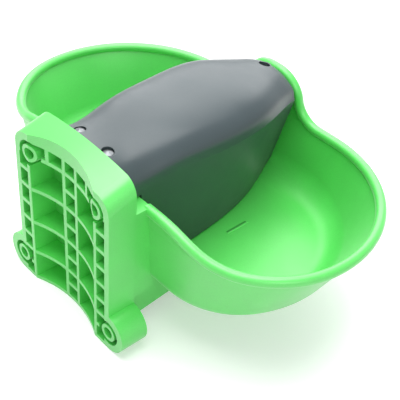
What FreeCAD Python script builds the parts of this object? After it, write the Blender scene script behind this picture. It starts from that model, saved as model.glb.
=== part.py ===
import FreeCAD, Part
import Sketcher
import math
import os
from types import SimpleNamespace

# Double drinking bowl for livestock, with a float valve under a screwed cover.
# Frame: x = 0 is the plane of symmetry, y = 0 is the wall or post that the bracket stands against,
# +Y points to the tip of the bowl, and z = 0 is half way between the upper and the lower bolt holes.

DRIVING_SIZES = [
    # the moulded bowl
    ("wall", 4.0, "wall of the bowl"),
    ("wall_draft", 6.0, "outward lean of the rear wall above the rim"),
    ("front_lean", 8.0, "inward lean of the front arch"),
    ("rim_height", 37.4, "centre of the rolled lip around both lobes"),
    ("bowl_bottom", -32.0, "underside of the bowl"),
    ("bottom_fillet", 14.0, "outer fillet between the wall and the underside"),
    ("inner_fillet", 27.0, "fillet between the floor and the inner wall"),
    ("lip_radius", 5.0, "radius of the rolled lip"),
    ("rear_wall", 45.8, "outside of the rear wall at lip height"),
    ("rear_straight", 106.9, "half length of the straight rear wall"),
    ("rear_radius", 101.0, "plan radius of the rear corner of a lobe"),
    ("rear_sweep", 61.0, "angle of the rear corner"),
    ("side_radius", 93.2, "plan radius of the end of a lobe"),
    ("side_sweep", 19.1, "angle of the end of a lobe"),
    ("front_radius", 124.2, "plan radius of the front corner of a lobe"),
    ("floor_rear", 49.0, "rear edge of the underside"),
    ("floor_straight", 86.0, "half length of the straight rear edge of the underside"),
    ("floor_rear_radius", 80.0, "rear corner of the underside"),
    ("floor_side_radius", 125.0, "end of the underside"),
    ("floor_front_radius", 113.2, "front corner of the underside"),
    ("arch_height", 86.0, "centre of the lip on top of the front arch"),
    ("arch_flat", 4.0, "half width of the flat top of the front arch"),
    ("arch_foot", 61.0, "half width of the foot of the front arch"),
    ("rear_lip_height", 54.5, "centre of the lip beside the neck"),
    ("rear_lip_start", 75.0, "where the rear lip begins to fall"),
    ("rear_lip_end", 170.0, "where the rear lip has come down to the rim height"),
    # the bracket
    ("bracket_half", 69.0, "half width of the bracket"),
    ("bracket_depth", 29.0, "depth of the bracket from wall to front face"),
    ("bracket_bottom", -87.5, "lower edge of the bracket"),
    ("roof_rear", 90.5, "crown of the bracket roof at the wall"),
    ("roof_rise", 8.5, "rise of the roof from the wall to the front face"),
    ("roof_radius", 420.0, "radius of the roof crown"),
    ("roof_corner", 17.0, "corner radius of the roof"),
    ("side_wall", 6.2, "outer wall beside the small cells"),
    ("cell_width", 11.6, "width of a small side cell"),
    ("rib", 4.0, "ribs of the lattice"),
    ("middle_cell", 13.6, "width of a small middle cell"),
    ("bracket_skin", 3.0, "front skin that closes the cells"),
    ("ear_radius", 21.0, "radius of the lower ears"),
    ("upper_hole_x", 48.5, "upper bolt holes, from the middle"),
    ("lower_hole_x", 68.0, "lower bolt holes, from the middle"),
    ("bolt_hole_z", 67.0, "bolt holes above and below the middle height"),
    ("bolt_hole_radius", 5.75, "radius of the bolt holes"),
    ("boss_wall", 3.4, "wall of a bolt boss"),
    ("boss_ring", 4.2, "free ring around a bolt boss"),
    ("post_radius", 115.0, "radius of the recess for a round post"),
    ("post_recess", 10.5, "depth of the recess in the middle"),
    ("neck_half", 67.0, "half width of the neck behind the bowl"),
    ("neck_top", 58.0, "top of the neck"),
    ("neck_bottom", -41.0, "bottom of the neck"),
    ("web_offset", 60.0, "outer face of the webs under the neck, from the middle"),
    ("web_thickness", 4.0, "thickness of the webs"),
    ("web_low", -76.0, "lower edge of the webs at the bracket"),
    ("web_reach", 128.0, "front end of the webs"),
    # the cover
    ("cover_wall", 3.0, "wall of the cover"),
    ("cover_gap", 2.0, "water gap between the cover and the bowl"),
    ("cover_end_gap", 2.2, "gap between the cover's front end and the lip of the arch"),
    ("joint_gap", 0.3, "free gap between parts that do not touch"),
    ("rear_screw_x", 20.0, "rear cover screws, from the middle"),
    ("rear_screw_y", 36.5, "rear cover screws, from the wall"),
    ("rear_seat", 88.0, "height where the cover sits on the rear bosses"),
    ("front_screw_inset", 20.2, "front cover screw, from the outside of the front wall"),
    ("front_seat", 85.0, "height where the cover sits on the front boss"),
    ("screw_radius", 2.5, "radius of the cover screws"),
    ("screw_length", 18.0, "length of the cover screws in the boss"),
    ("screw_floor", 3.2, "cover material under a screw head"),
    ("head_radius", 5.0, "radius of a screw head"),
    ("head_height", 3.0, "height of a screw head"),
    ("counterbore_radius", 5.8, "radius of the recess for a screw head"),
    ("screw_boss_radius", 7.6, "radius of the screw bosses in the bowl"),
    # the float valve
    ("inlet_y", 86.0, "axis of the inlet, from the wall"),
    ("inlet_radius", 10.4, "radius of the half inch inlet thread"),
    ("inlet_bore", 6.0, "radius of the water way"),
    ("inlet_end", -66.0, "lower end of the inlet"),
    ("relief_height", 2.0, "groove between the back nut and the supply thread"),
    ("flange_radius", 17.0, "radius of the inlet flange"),
    ("flange_height", 4.0, "height of the inlet flange"),
    ("gasket", 2.0, "thickness of the flat seals"),
    ("inlet_boss_rise", 4.0, "flat inlet boss above the floor"),
    ("inlet_boss_drop", 2.0, "flat inlet boss below the bowl"),
    ("inlet_boss_radius", 19.0, "radius of the inlet boss"),
    ("nut_height", 8.0, "height of the back nut"),
    ("nut_flats", 30.0, "width of the back nut across its flats"),
    ("barrel_z", 58.0, "height of the valve barrel axis"),
    ("barrel_radius", 13.0, "outer radius of the barrel"),
    ("barrel_rear", 74.0, "rear end of the barrel"),
    ("barrel_front", 134.0, "front end of the barrel"),
    ("piston_radius", 8.0, "radius of the piston"),
    ("piston_length", 24.0, "length of the piston"),
    ("fit", 0.05, "radial clearance of running fits"),
    ("seat_y", 104.0, "seat of the nozzle"),
    ("orifice", 2.5, "radius of the nozzle orifice"),
    ("seal_thickness", 3.0, "thickness of the piston seal"),
    ("seal_radius", 6.0, "radius of the piston seal"),
    ("pivot_y", 121.0, "lever pivot, from the wall"),
    ("pivot_drop", 16.0, "lever pivot below the barrel axis"),
    ("cam_reach", 12.0, "pivot to the centre of the lever cam"),
    ("cam_radius", 3.0, "radius of the lever cam"),
    ("half_swing", 12.0, "half of the swing of the lever"),
    ("lever_half", 3.7, "half width of the lever at the pivot"),
    ("lever_plate", 6.0, "height of the lever arm"),
    ("small_nut_flats", 10.0, "width of the float nuts across their flats"),
    ("small_nut_height", 4.0, "height of a float nut"),
    ("pin_radius", 2.5, "radius of the lever pin"),
    ("lug_thickness", 4.0, "thickness of a lug that carries the pin"),
    ("lever_length", 74.0, "pivot to the float stem"),
    ("float_radius", 28.0, "radius of the float"),
    ("float_height", 32.0, "height of the float"),
    ("float_drop", 14.0, "top of the float below the lever"),
    ("float_wall", 2.0, "wall of the float shells"),
    ("stem_radius", 3.0, "radius of the float stem"),
    # the drain
    ("drain_y", 214.0, "axis of the drain, from the wall"),
    ("drain_radius", 9.0, "radius of the drain plug"),
    ("drain_flange", 14.0, "radius of the drain plug flange"),
    ("drain_flange_height", 4.0, "height of the drain plug flange"),
    ("grip_height", 12.0, "height of the drain plug grip"),
]

# Reach of the tools that cut right through the bowl or the bracket.
THROUGH_ALL = 200.0

# Heights of the tops of the rows of cells: the short top row, then the eight full rows. The rows are
# closer together near the two ends.
ROW_TOPS = [79.0, 63.0, 44.5, 24.5, 4.5, -15.5, -35.5, -53.5, -70.5]
BIG_CELL_ROWS = [(1, 3), (3, 5), (5, 7), (7, 9)]

# Cover sections: distance from the wall, crown height, half width at the shoulder, drop from the
# crown to the shoulder, fullness (2 is an ellipse, more is squarer), crease angle at the shoulder
# and half width at the lower edge.
COVER_SECTIONS = [
    (29.3, 96.2, 50.9, 29.3, 2.5, 0, 46.0),
    (65.0, 97.6, 52.0, 31.0, 2.5, 0, 50.0),
    (110.0, 102.2, 56.7, 30.0, 2.75, 0, 52.0),
    (150.0, 103.5, 59.3, 30.5, 2.7, 2, 47.5),
    (190.0, 103.5, 57.3, 28.0, 2.55, 8, 39.0),
    (220.0, 100.2, 48.6, 26.5, 2.15, 22, 28.0),
    (243.0, 96.6, 40.0, 26.0, 1.9, 36, 17.0),
    (256.5, 90.0, 36.0, 22.0, 1.9, 40, 12.0),
]


class Term:
    """A number together with the expression that FreeCAD evaluates for it."""

    def __init__(self, value, text):
        self.value = value
        self.text = text

    def join(self, other, sign, value):
        return Term(value, "(%s %s %s)" % (self.text, sign, other.text))

    def __add__(self, other):
        other = term(other)
        return self.join(other, "+", self.value + other.value)

    def __sub__(self, other):
        other = term(other)
        return self.join(other, "-", self.value - other.value)

    def __mul__(self, other):
        other = term(other)
        return self.join(other, "*", self.value * other.value)

    def __truediv__(self, other):
        other = term(other)
        return self.join(other, "/", self.value / other.value)

    def __neg__(self):
        return term(0) - self

    __radd__ = __add__
    __rmul__ = __mul__

    def __rsub__(self, other):
        return term(other) - self


def term(value):
    return value if isinstance(value, Term) else Term(float(value), "%.6g" % value)


def root(value):
    return Term(math.sqrt(value.value), "sqrt(%s)" % value.text)


def sine(angle):
    angle = term(angle)
    return Term(math.sin(math.radians(angle.value)), "sin(%s * 1deg)" % angle.text)


def cosine(angle):
    angle = term(angle)
    return Term(math.cos(math.radians(angle.value)), "cos(%s * 1deg)" % angle.text)


doc = FreeCAD.newDocument("drinking_bowl")
sheet = doc.addObject("Spreadsheet::Sheet", "Sizes")
for line, (alias, number, meaning) in enumerate(DRIVING_SIZES, start=1):
    sheet.set("A%d" % line, meaning)
    sheet.set("B%d" % line, "%g" % number)
    sheet.setAlias("B%d" % line, alias)
doc.recompute()
d = SimpleNamespace(**{alias: Term(sheet.get(alias), "Sizes." + alias) for alias, number, meaning in DRIVING_SIZES})


def bind(target, name, value):
    """Sets a property and ties it to the sheet."""
    value = term(value)
    target.setExpression(name, value.text)


def place(target, x=0, y=0, z=0):
    for axis, value in zip("xyz", (x, y, z)):
        bind(target, "Placement.Base." + axis, value)


def new_body(name):
    body = doc.addObject("PartDesign::Body", name)
    body.Label = name
    return body


def origin_plane(body, role):
    return [plane for plane in body.Origin.OriginFeatures if plane.Role == role][0]


def attach(body, name, role, offset):
    sketch = body.newObject("Sketcher::SketchObject", name)
    sketch.AttachmentSupport = [(origin_plane(body, role), "")]
    sketch.MapMode = "FlatFace"
    if term(offset).value:
        # the XZ plane looks along -Y, so an offset towards +Y is negative there
        bind(sketch, "AttachmentOffset.Base.z", -offset if role == "XZ_Plane" else offset)
    return sketch


def fix_point(sketch, geometry, position, x, y):
    """Fixes a point of the sketch at two bound distances from its origin."""
    for kind, axis_line, value in (("DistanceX", -2, term(x)), ("DistanceY", -1, term(y))):
        if abs(value.value) < 1e-9:
            sketch.addConstraint(Sketcher.Constraint("PointOnObject", geometry, position, axis_line))
            continue
        number = sketch.addConstraint(Sketcher.Constraint(kind, -1, 1, geometry, position, value.value))
        sketch.setExpression("Constraints[%d]" % number, value.text)


def fix_radius(sketch, geometry, radius):
    number = sketch.addConstraint(Sketcher.Constraint("Radius", geometry, radius.value))
    sketch.setExpression("Constraints[%d]" % number, radius.text)


def arc_between(start, end, radius, left):
    """The shorter arc from start to end, turning left or right, as ArcOfCircle data."""
    middle = (start + end) * 0.5
    half = (end - start) * 0.5
    height = math.sqrt(max(radius * radius - half.Length ** 2, 0.0))
    side = FreeCAD.Vector(-half.y, half.x, 0)
    side.normalize()
    centre = middle + side * (height if left else -height)
    first = math.atan2(start.y - centre.y, start.x - centre.x)
    last = math.atan2(end.y - centre.y, end.x - centre.x)
    circle = Part.Circle(centre, FreeCAD.Vector(0, 0, 1), radius)
    return Part.ArcOfCircle(circle, first, last) if left else Part.ArcOfCircle(circle, last, first)


def draw_loop(sketch, points):
    """Draws a closed outline. A point is (x, y) after a straight line, or (x, y, radius, left)
    after an arc of that radius that turns left or right."""
    vectors = [FreeCAD.Vector(term(point[0]).value, term(point[1]).value, 0) for point in points]
    ends = []
    for index, point in enumerate(points):
        start = vectors[index - 1]
        end = vectors[index]
        if len(point) == 2:
            number = sketch.addGeometry(Part.LineSegment(start, end), False)
            ends.append((number, 1, 2))
        else:
            radius = term(point[2])
            number = sketch.addGeometry(arc_between(start, end, radius.value, point[3]), False)
            ends.append((number, 1, 2) if point[3] else (number, 2, 1))
            fix_radius(sketch, number, radius)
    for index, point in enumerate(points):
        geometry, start_mark, end_mark = ends[index]
        following, next_start, next_end = ends[(index + 1) % len(ends)]
        sketch.addConstraint(Sketcher.Constraint("Coincident", geometry, end_mark, following, next_start))
        fix_point(sketch, geometry, end_mark, point[0], point[1])


def draw_circle(sketch, x, y, radius):
    radius = term(radius)
    centre = FreeCAD.Vector(term(x).value, term(y).value, 0)
    number = sketch.addGeometry(Part.Circle(centre, FreeCAD.Vector(0, 0, 1), radius.value), False)
    fix_radius(sketch, number, radius)
    fix_point(sketch, number, 3, x, y)


def rectangle(left, low, right, high):
    return [(left, low), (right, low), (right, high), (left, high)]


def sketch_on(body, name, role, loops=(), circles=(), offset=0):
    sketch = attach(body, name, role, offset)
    for loop in loops:
        draw_loop(sketch, loop)
    for circle in circles:
        draw_circle(sketch, *circle)
    return sketch


def pad(body, sketch, length, reverse=False, draft=None):
    feature = body.newObject("PartDesign::Pad", sketch.Name + "_pad")
    feature.Profile = sketch
    bind(feature, "Length", length)
    feature.Reversed = reverse
    if draft is not None:
        bind(feature, "TaperAngle", draft)
    return feature


def pocket(body, sketch, length, reverse=False):
    feature = body.newObject("PartDesign::Pocket", sketch.Name + "_cut")
    feature.Profile = sketch
    bind(feature, "Length", length)
    feature.Reversed = reverse
    return feature


def revolve(body, sketch):
    """Turns a profile on the XZ plane around the upright axis."""
    feature = body.newObject("PartDesign::Revolution", sketch.Name + "_turn")
    feature.Profile = sketch
    feature.ReferenceAxis = (sketch, ["V_Axis"])
    feature.Angle = 360
    return feature


def turned(name, profile, x=0, y=0, z=0):
    """A turned piece from its half profile (radius, height)."""
    body = new_body(name)
    revolve(body, sketch_on(body, name + "_profile", "XZ_Plane", [profile]))
    place(body, x, y, z)
    return body


def cylinder(name, radius, length, x=0, y=0, z=0, axis="z"):
    shape = doc.addObject("Part::Cylinder", name)
    bind(shape, "Radius", radius)
    bind(shape, "Height", length)
    place(shape, x, y, z)
    turn = {"z": (FreeCAD.Vector(0, 0, 1), 0), "y": (FreeCAD.Vector(1, 0, 0), -90), "x": (FreeCAD.Vector(0, 1, 0), 90)}
    shape.Placement.Rotation = FreeCAD.Rotation(*turn[axis])
    return shape


def box(name, low, high):
    shape = doc.addObject("Part::Box", name)
    for prop, first, last in zip(("Length", "Width", "Height"), low, high):
        bind(shape, prop, term(last) - term(first))
    place(shape, *low)
    return shape


def fuse(name, shapes):
    joined = doc.addObject("Part::MultiFuse", name)
    joined.Shapes = shapes
    return joined


def cut(name, base, tool):
    result = doc.addObject("Part::Cut", name)
    result.Base = base
    result.Tool = tool
    return result


def common(name, base, tool):
    result = doc.addObject("Part::MultiCommon", name)
    result.Shapes = [base, tool]
    return result


def feature(name, shape):
    result = doc.addObject("Part::Feature", name)
    result.Shape = shape
    return result


# Bowl: plan outline of both lobes

def rim_lobe():
    """Plan of a lobe at the rim: straight length, rear edge and the three corner radii."""
    return d.rear_straight, d.rear_wall, d.rear_radius, d.side_radius, d.front_radius


def floor_lobe():
    """Plan of a lobe at the underside, where its end is much shorter."""
    return d.floor_straight, d.floor_rear, d.floor_rear_radius, d.floor_side_radius, d.floor_front_radius


def upper_lobe(height):
    """Plan of a lobe above the rim: the rear wall leans out and the front wall leans in."""
    spread = height * sine(d.wall_draft) / cosine(d.wall_draft)
    lean = height * sine(d.front_lean) / cosine(d.front_lean)
    turn = sine(d.rear_sweep + d.side_sweep - 90)
    front = d.front_radius - (lean + spread * turn) / (1 - turn)
    return d.rear_straight, d.rear_wall - spread, d.rear_radius + spread, d.side_radius + spread, front


def lobe_points(lobe, inset):
    """Corner points of the right lobe, from the rear wall to the front wall, moved in by inset."""
    straight, rear, rear_radius, side_radius, front_radius = lobe
    centre1_x = straight
    centre1_y = rear + rear_radius
    angle1 = d.rear_sweep - 90
    angle2 = d.rear_sweep + d.side_sweep - 90
    centre2_x = centre1_x + (rear_radius - side_radius) * cosine(angle1)
    centre2_y = centre1_y + (rear_radius - side_radius) * sine(angle1)
    centre3_x = centre2_x + (side_radius - front_radius) * cosine(angle2)
    centre3_y = centre2_y + (side_radius - front_radius) * sine(angle2)
    radius1 = rear_radius - inset
    radius2 = side_radius - inset
    radius3 = front_radius - inset
    return [
        (centre1_x, centre1_y - radius1),
        (centre1_x + radius1 * cosine(angle1), centre1_y + radius1 * sine(angle1), radius1, True),
        (centre2_x + radius2 * cosine(angle2), centre2_y + radius2 * sine(angle2), radius2, True),
        (centre3_x, centre3_y + radius3, radius3, True),
    ]


def both_lobes(lobe, inset):
    right = lobe_points(lobe, inset)
    left = [(-right[3][0], right[3][1])]
    for index in (2, 1, 0):
        left.append((-right[index][0], right[index][1], right[index + 1][2], True))
    return right + left


def ruled_loft(name, lower, upper):
    loft = doc.addObject("Part::Loft", name)
    loft.Sections = [lower, upper]
    loft.Solid = True
    loft.Ruled = True
    return loft


def bowl_volume(name, inset, bottom, fillet_radius, height_above):
    """The body of the bowl, moved in by inset: the walls below the rim and those above it."""
    outlines = new_body(name + "_outlines")
    height_above = term(height_above)
    floor = sketch_on(outlines, name + "_floor", "XY_Plane", [both_lobes(floor_lobe(), inset)], offset=bottom)
    rim = sketch_on(outlines, name + "_rim", "XY_Plane", [both_lobes(rim_lobe(), inset)], offset=d.rim_height)
    top = sketch_on(outlines, name + "_top", "XY_Plane", [both_lobes(upper_lobe(height_above), inset)],
                    offset=d.rim_height + height_above)
    lower = ruled_loft(name + "_lower", floor, rim)
    doc.recompute()
    rounding = doc.addObject("Part::Fillet", name + "_fillet")
    rounding.Base = lower
    rounding.Edges = [
        (number + 1, fillet_radius.value, fillet_radius.value)
        for number, edge in enumerate(lower.Shape.Edges)
        if edge.BoundBox.ZMax < bottom.value + 0.01
    ]
    return fuse(name, [rounding, ruled_loft(name + "_higher", rim, top)])


def front_wall(height):
    """Outer face of the front wall at its middle, at a height above the rim."""
    return lobe_points(upper_lobe(height - d.rim_height), 0)[3][1]


def front_screw_y():
    return front_wall(d.front_seat) - d.front_screw_inset


def cover_front():
    """Front end of the cover, just behind the lip of the arch."""
    return front_wall(d.arch_height) - d.wall / 2 - d.lip_radius - d.cover_end_gap


def s_curve(near_x, near_z, far_x, far_z):
    """Outline points and radius of two equal arcs that join two level heights."""
    run = far_x - near_x
    drop = near_z - far_z
    radius = (run * run + drop * drop) / (drop * 4)
    return (near_x + far_x) / 2, (near_z + far_z) / 2, radius


def s_curve_height(x, near_x, near_z, far_x, far_z):
    """Height of the same curve at x, as a number."""
    if x <= near_x:
        return near_z
    if x >= far_x:
        return far_z
    run = far_x - near_x
    drop = near_z - far_z
    radius = (run * run + drop * drop) / (4 * drop)
    if x < near_x + run / 2:
        return near_z - radius + math.sqrt(radius ** 2 - (x - near_x) ** 2)
    return far_z + radius - math.sqrt(radius ** 2 - (far_x - x) ** 2)


def trim_profile(flat, height, foot):
    """Everything above the bowl's edge, seen from the front: a raised middle that falls to the rim."""
    sky = 130
    side = 260
    middle_x, middle_z, fall_radius = s_curve(flat, height, foot, d.rim_height)
    return [
        (-foot, d.rim_height),
        (-middle_x, middle_z, fall_radius, True),
        (-flat, height, fall_radius, False),
        (flat, height),
        (middle_x, middle_z, fall_radius, False),
        (foot, d.rim_height, fall_radius, True),
        (side, d.rim_height),
        (side, sky),
        (-side, sky),
        (-side, d.rim_height),
    ]


def build_bowl_shell():
    """The outside of the bowl: the arch under the cover's front and the rise to the neck stand up."""
    outer = bowl_volume("bowl_outer", 0, d.bowl_bottom, d.bottom_fillet, d.arch_height - d.rim_height + 12)
    split_y = d.rear_wall + d.rear_radius
    arch_cut = new_body("arch_cut")
    arch_profile = trim_profile(d.arch_flat, d.arch_height, d.arch_foot)
    arch_sketch = sketch_on(arch_cut, "arch_profile", "XZ_Plane", [arch_profile], offset=split_y)
    pad(arch_cut, arch_sketch, THROUGH_ALL, reverse=True)
    rear_cut = new_body("rear_cut")
    rear_profile = trim_profile(d.rear_lip_start, d.rear_lip_height, d.rear_lip_end)
    rear_sketch = sketch_on(rear_cut, "rear_profile", "XZ_Plane", [rear_profile], offset=split_y)
    pad(rear_cut, rear_sketch, THROUGH_ALL)
    return cut("bowl_trimmed", outer, fuse("bowl_trims", [arch_cut, rear_cut]))


def heading(angle):
    """Unit vector in plan at an angle in degrees."""
    return FreeCAD.Vector(math.cos(math.radians(angle)), math.sin(math.radians(angle)), 0)


def plan_arc(centre, radius, first, last):
    middle = (first + last) / 2
    points = [centre + heading(angle) * radius for angle in (first, middle, last)]
    return Part.Arc(*points).toShape()


def rear_lip_edge(centre, radius, last_angle):
    """The lip beside the neck: it falls along the rear wall and round into the lobe."""
    lean = math.tan(math.radians(d.wall_draft.value))
    rim = d.rim_height.value
    fall = (d.rear_lip_start.value, d.rear_lip_height.value, d.rear_lip_end.value, rim)
    start = d.neck_half.value - d.web_thickness.value
    straight_steps = 5
    corner_steps = 6
    points = []
    for step in range(straight_steps):
        x = start + (centre.x - start) * step / straight_steps
        height = s_curve_height(x, *fall)
        points.append(FreeCAD.Vector(x, centre.y - radius - lean * (height - rim), height))
    for step in range(corner_steps + 1):
        out = heading(-90 + (last_angle + 90) * step / corner_steps)
        height = s_curve_height(centre.x + radius * out.x, *fall)
        point = centre + out * (radius + lean * (height - rim))
        points.append(FreeCAD.Vector(point.x, point.y, height))
    curve = Part.BSplineCurve()
    ahead = heading(last_angle + 90)
    curve.interpolate(Points=points, InitialTangent=FreeCAD.Vector(1, 0, 0), FinalTangent=ahead)
    return curve.toShape()


def front_arch_edges(corner):
    """Half of the front arch, as lines and arcs in the plane of the leaning front wall."""
    lean = math.radians(d.front_lean.value)
    up_wall = FreeCAD.Vector(0, -math.sin(lean), math.cos(lean))
    rise = (d.arch_height.value - d.rim_height.value) / math.cos(lean)
    flat = d.arch_flat.value
    foot = d.arch_foot.value
    run = foot - flat
    radius = (run * run + rise * rise) / (4 * rise)
    swing = math.asin(run / 2 / radius)

    def on_wall(x, height):
        return FreeCAD.Vector(x, corner.y, corner.z) + up_wall * height

    def bend(x, height, side, first, last):
        angles = (first, (first + last) / 2, last)
        points = [on_wall(x + radius * math.sin(a), height + side * radius * math.cos(a)) for a in angles]
        return Part.Arc(*points).toShape()

    return [
        Part.makeLine(corner, on_wall(foot, 0)),
        bend(foot, radius, -1, 0, -swing),
        bend(flat, rise - radius, 1, swing, 0),
        Part.makeLine(on_wall(flat, rise), on_wall(0, rise)),
    ]


def lip_piece(edge):
    """A round rod along one edge of the lip path."""
    start = edge.valueAt(edge.FirstParameter)
    end = edge.valueAt(edge.LastParameter)
    ring = Part.Wire([Part.makeCircle(d.lip_radius.value, start, edge.tangentAt(edge.FirstParameter))])
    if isinstance(edge.Curve, Part.Line):
        return Part.Face(ring).extrude(end - start)
    if isinstance(edge.Curve, Part.Circle):
        turn = math.degrees(edge.Length / edge.Curve.Radius)
        rod = Part.Face(ring).revolve(edge.Curve.Center, edge.Curve.Axis, turn)
        if rod.isInside(end, 0.01, True):
            return rod
        return Part.Face(ring).revolve(edge.Curve.Center, edge.Curve.Axis, -turn)
    return Part.Wire([edge]).makePipeShell([ring], True, False)


def build_lip():
    """The rolled lip that runs from the neck around both lobes and over the front arch."""
    inset = d.wall.value / 2
    radii = [radius.value - inset for radius in (d.rear_radius, d.side_radius, d.front_radius)]
    angles = [d.rear_sweep.value - 90, d.rear_sweep.value + d.side_sweep.value - 90]
    rim = d.rim_height.value
    centre1 = FreeCAD.Vector(d.rear_straight.value, d.rear_wall.value + d.rear_radius.value, rim)
    centre2 = centre1 + heading(angles[0]) * (radii[0] - radii[1])
    centre3 = centre2 + heading(angles[1]) * (radii[1] - radii[2])
    fall_angle = math.degrees(math.asin((d.rear_lip_end.value - centre1.x) / radii[0])) - 90
    front_corner = centre3 + heading(90) * radii[2]
    edges = [
        rear_lip_edge(centre1, radii[0], fall_angle),
        plan_arc(centre1, radii[0], fall_angle, angles[0]),
        plan_arc(centre2, radii[1], angles[0], angles[1]),
        plan_arc(centre3, radii[2], angles[1], 90),
    ]
    right = [lip_piece(edge) for edge in edges + front_arch_edges(front_corner)]
    left = [piece.mirror(FreeCAD.Vector(0, 0, 0), FreeCAD.Vector(1, 0, 0)) for piece in right]
    return feature("rolled_lip", right[0].fuse(right[1:] + left))


def build_bracket():
    body = new_body("bracket_block")
    half = d.bracket_half
    ear_x = d.lower_hole_x
    ear_z = d.bracket_bottom + d.ear_radius
    ear_top = ear_z + root(d.ear_radius * d.ear_radius - (half - ear_x) * (half - ear_x))
    outlines = []
    for name, rise, y in (("outline_rear", term(0), term(0)), ("outline_front", d.roof_rise, d.bracket_depth)):
        crown = d.roof_rear + rise
        reach = d.roof_radius - d.roof_corner
        corner_x = half - d.roof_corner
        drop = root(reach * reach - corner_x * corner_x)
        corner_z = crown - d.roof_radius + drop
        touch_x = corner_x * d.roof_radius / reach
        touch_z = crown - d.roof_radius + drop * d.roof_radius / reach
        loop = [
            (ear_x, d.bracket_bottom),
            (half, ear_top, d.ear_radius, True),
            (half, corner_z),
            (touch_x, touch_z, d.roof_corner, True),
            (-touch_x, touch_z, d.roof_radius, True),
            (-half, corner_z, d.roof_corner, True),
            (-half, ear_top),
            (-ear_x, d.bracket_bottom, d.ear_radius, True),
        ]
        outlines.append(sketch_on(body, name, "XZ_Plane", [loop], offset=y))
    block = body.newObject("PartDesign::AdditiveLoft", "bracket_loft")
    block.Profile = outlines[0]
    block.Sections = [outlines[1]]
    block.Ruled = True
    return body


def row_loops(left, right, first_row):
    """One cell outline per row of the lattice, between two upright ribs."""
    loops = []
    for row in range(first_row, len(ROW_TOPS)):
        last = row == len(ROW_TOPS) - 1
        low = d.bracket_bottom + d.rib if last else term(ROW_TOPS[row + 1]) + d.rib
        loops.append(rectangle(left, low, right, ROW_TOPS[row]))
    return loops


def side_cell_loops():
    """Right side band, and the short top row between it and the middle column."""
    outer_x = d.bracket_half - d.side_wall
    inner_x = outer_x - d.cell_width
    first = d.middle_cell / 2 + d.rib
    width = (inner_x - d.rib * 2 - first) / 2
    low = term(ROW_TOPS[1]) + d.rib
    loops = row_loops(inner_x, outer_x, 1)
    for left in (first, first + width + d.rib):
        loops.append(rectangle(left, low, left + width, ROW_TOPS[0]))
    return loops


def big_cell_loops():
    """The tall cells of the right half, each two rows high."""
    inner_x = d.bracket_half - d.side_wall - d.cell_width - d.rib
    near_x = d.middle_cell / 2 + d.rib
    loops = []
    for first_row, next_row in BIG_CELL_ROWS:
        last = next_row == len(ROW_TOPS)
        low = d.bracket_bottom + d.rib if last else term(ROW_TOPS[next_row]) + d.rib
        loops.append(rectangle(near_x, low, inner_x, ROW_TOPS[first_row]))
    return loops


def bolt_places():
    return [
        (d.upper_hole_x, d.bolt_hole_z),
        (-d.upper_hole_x, d.bolt_hole_z),
        (d.lower_hole_x, -d.bolt_hole_z),
        (-d.lower_hole_x, -d.bolt_hole_z),
    ]


def mirror_feature(body, name, original):
    mirrored = body.newObject("PartDesign::Mirrored", name)
    mirrored.Originals = [original]
    mirrored.MirrorPlane = (origin_plane(body, "YZ_Plane"), [""])
    body.Tip = mirrored
    return mirrored


def finish_bracket(body):
    """Cells, bolt bosses and their free rings, all cut from the wall side."""
    depth = d.bracket_depth - d.bracket_skin
    half_middle = d.middle_cell / 2
    pocket(body, sketch_on(body, "middle_cells", "XZ_Plane", row_loops(-half_middle, half_middle, 0)), depth)
    side_cells = pocket(body, sketch_on(body, "side_cells", "XZ_Plane", side_cell_loops()), depth)
    mirror_feature(body, "side_cells_left", side_cells)
    big_cells = pocket(body, sketch_on(body, "big_cells", "XZ_Plane", big_cell_loops()), depth)
    mirror_feature(body, "big_cells_left", big_cells)
    ring_radius = d.bolt_hole_radius + d.boss_wall + d.boss_ring
    rings = [(x, z, ring_radius) for x, z in bolt_places()]
    pocket(body, sketch_on(body, "boss_rings", "XZ_Plane", circles=rings), depth)
    return body


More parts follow.
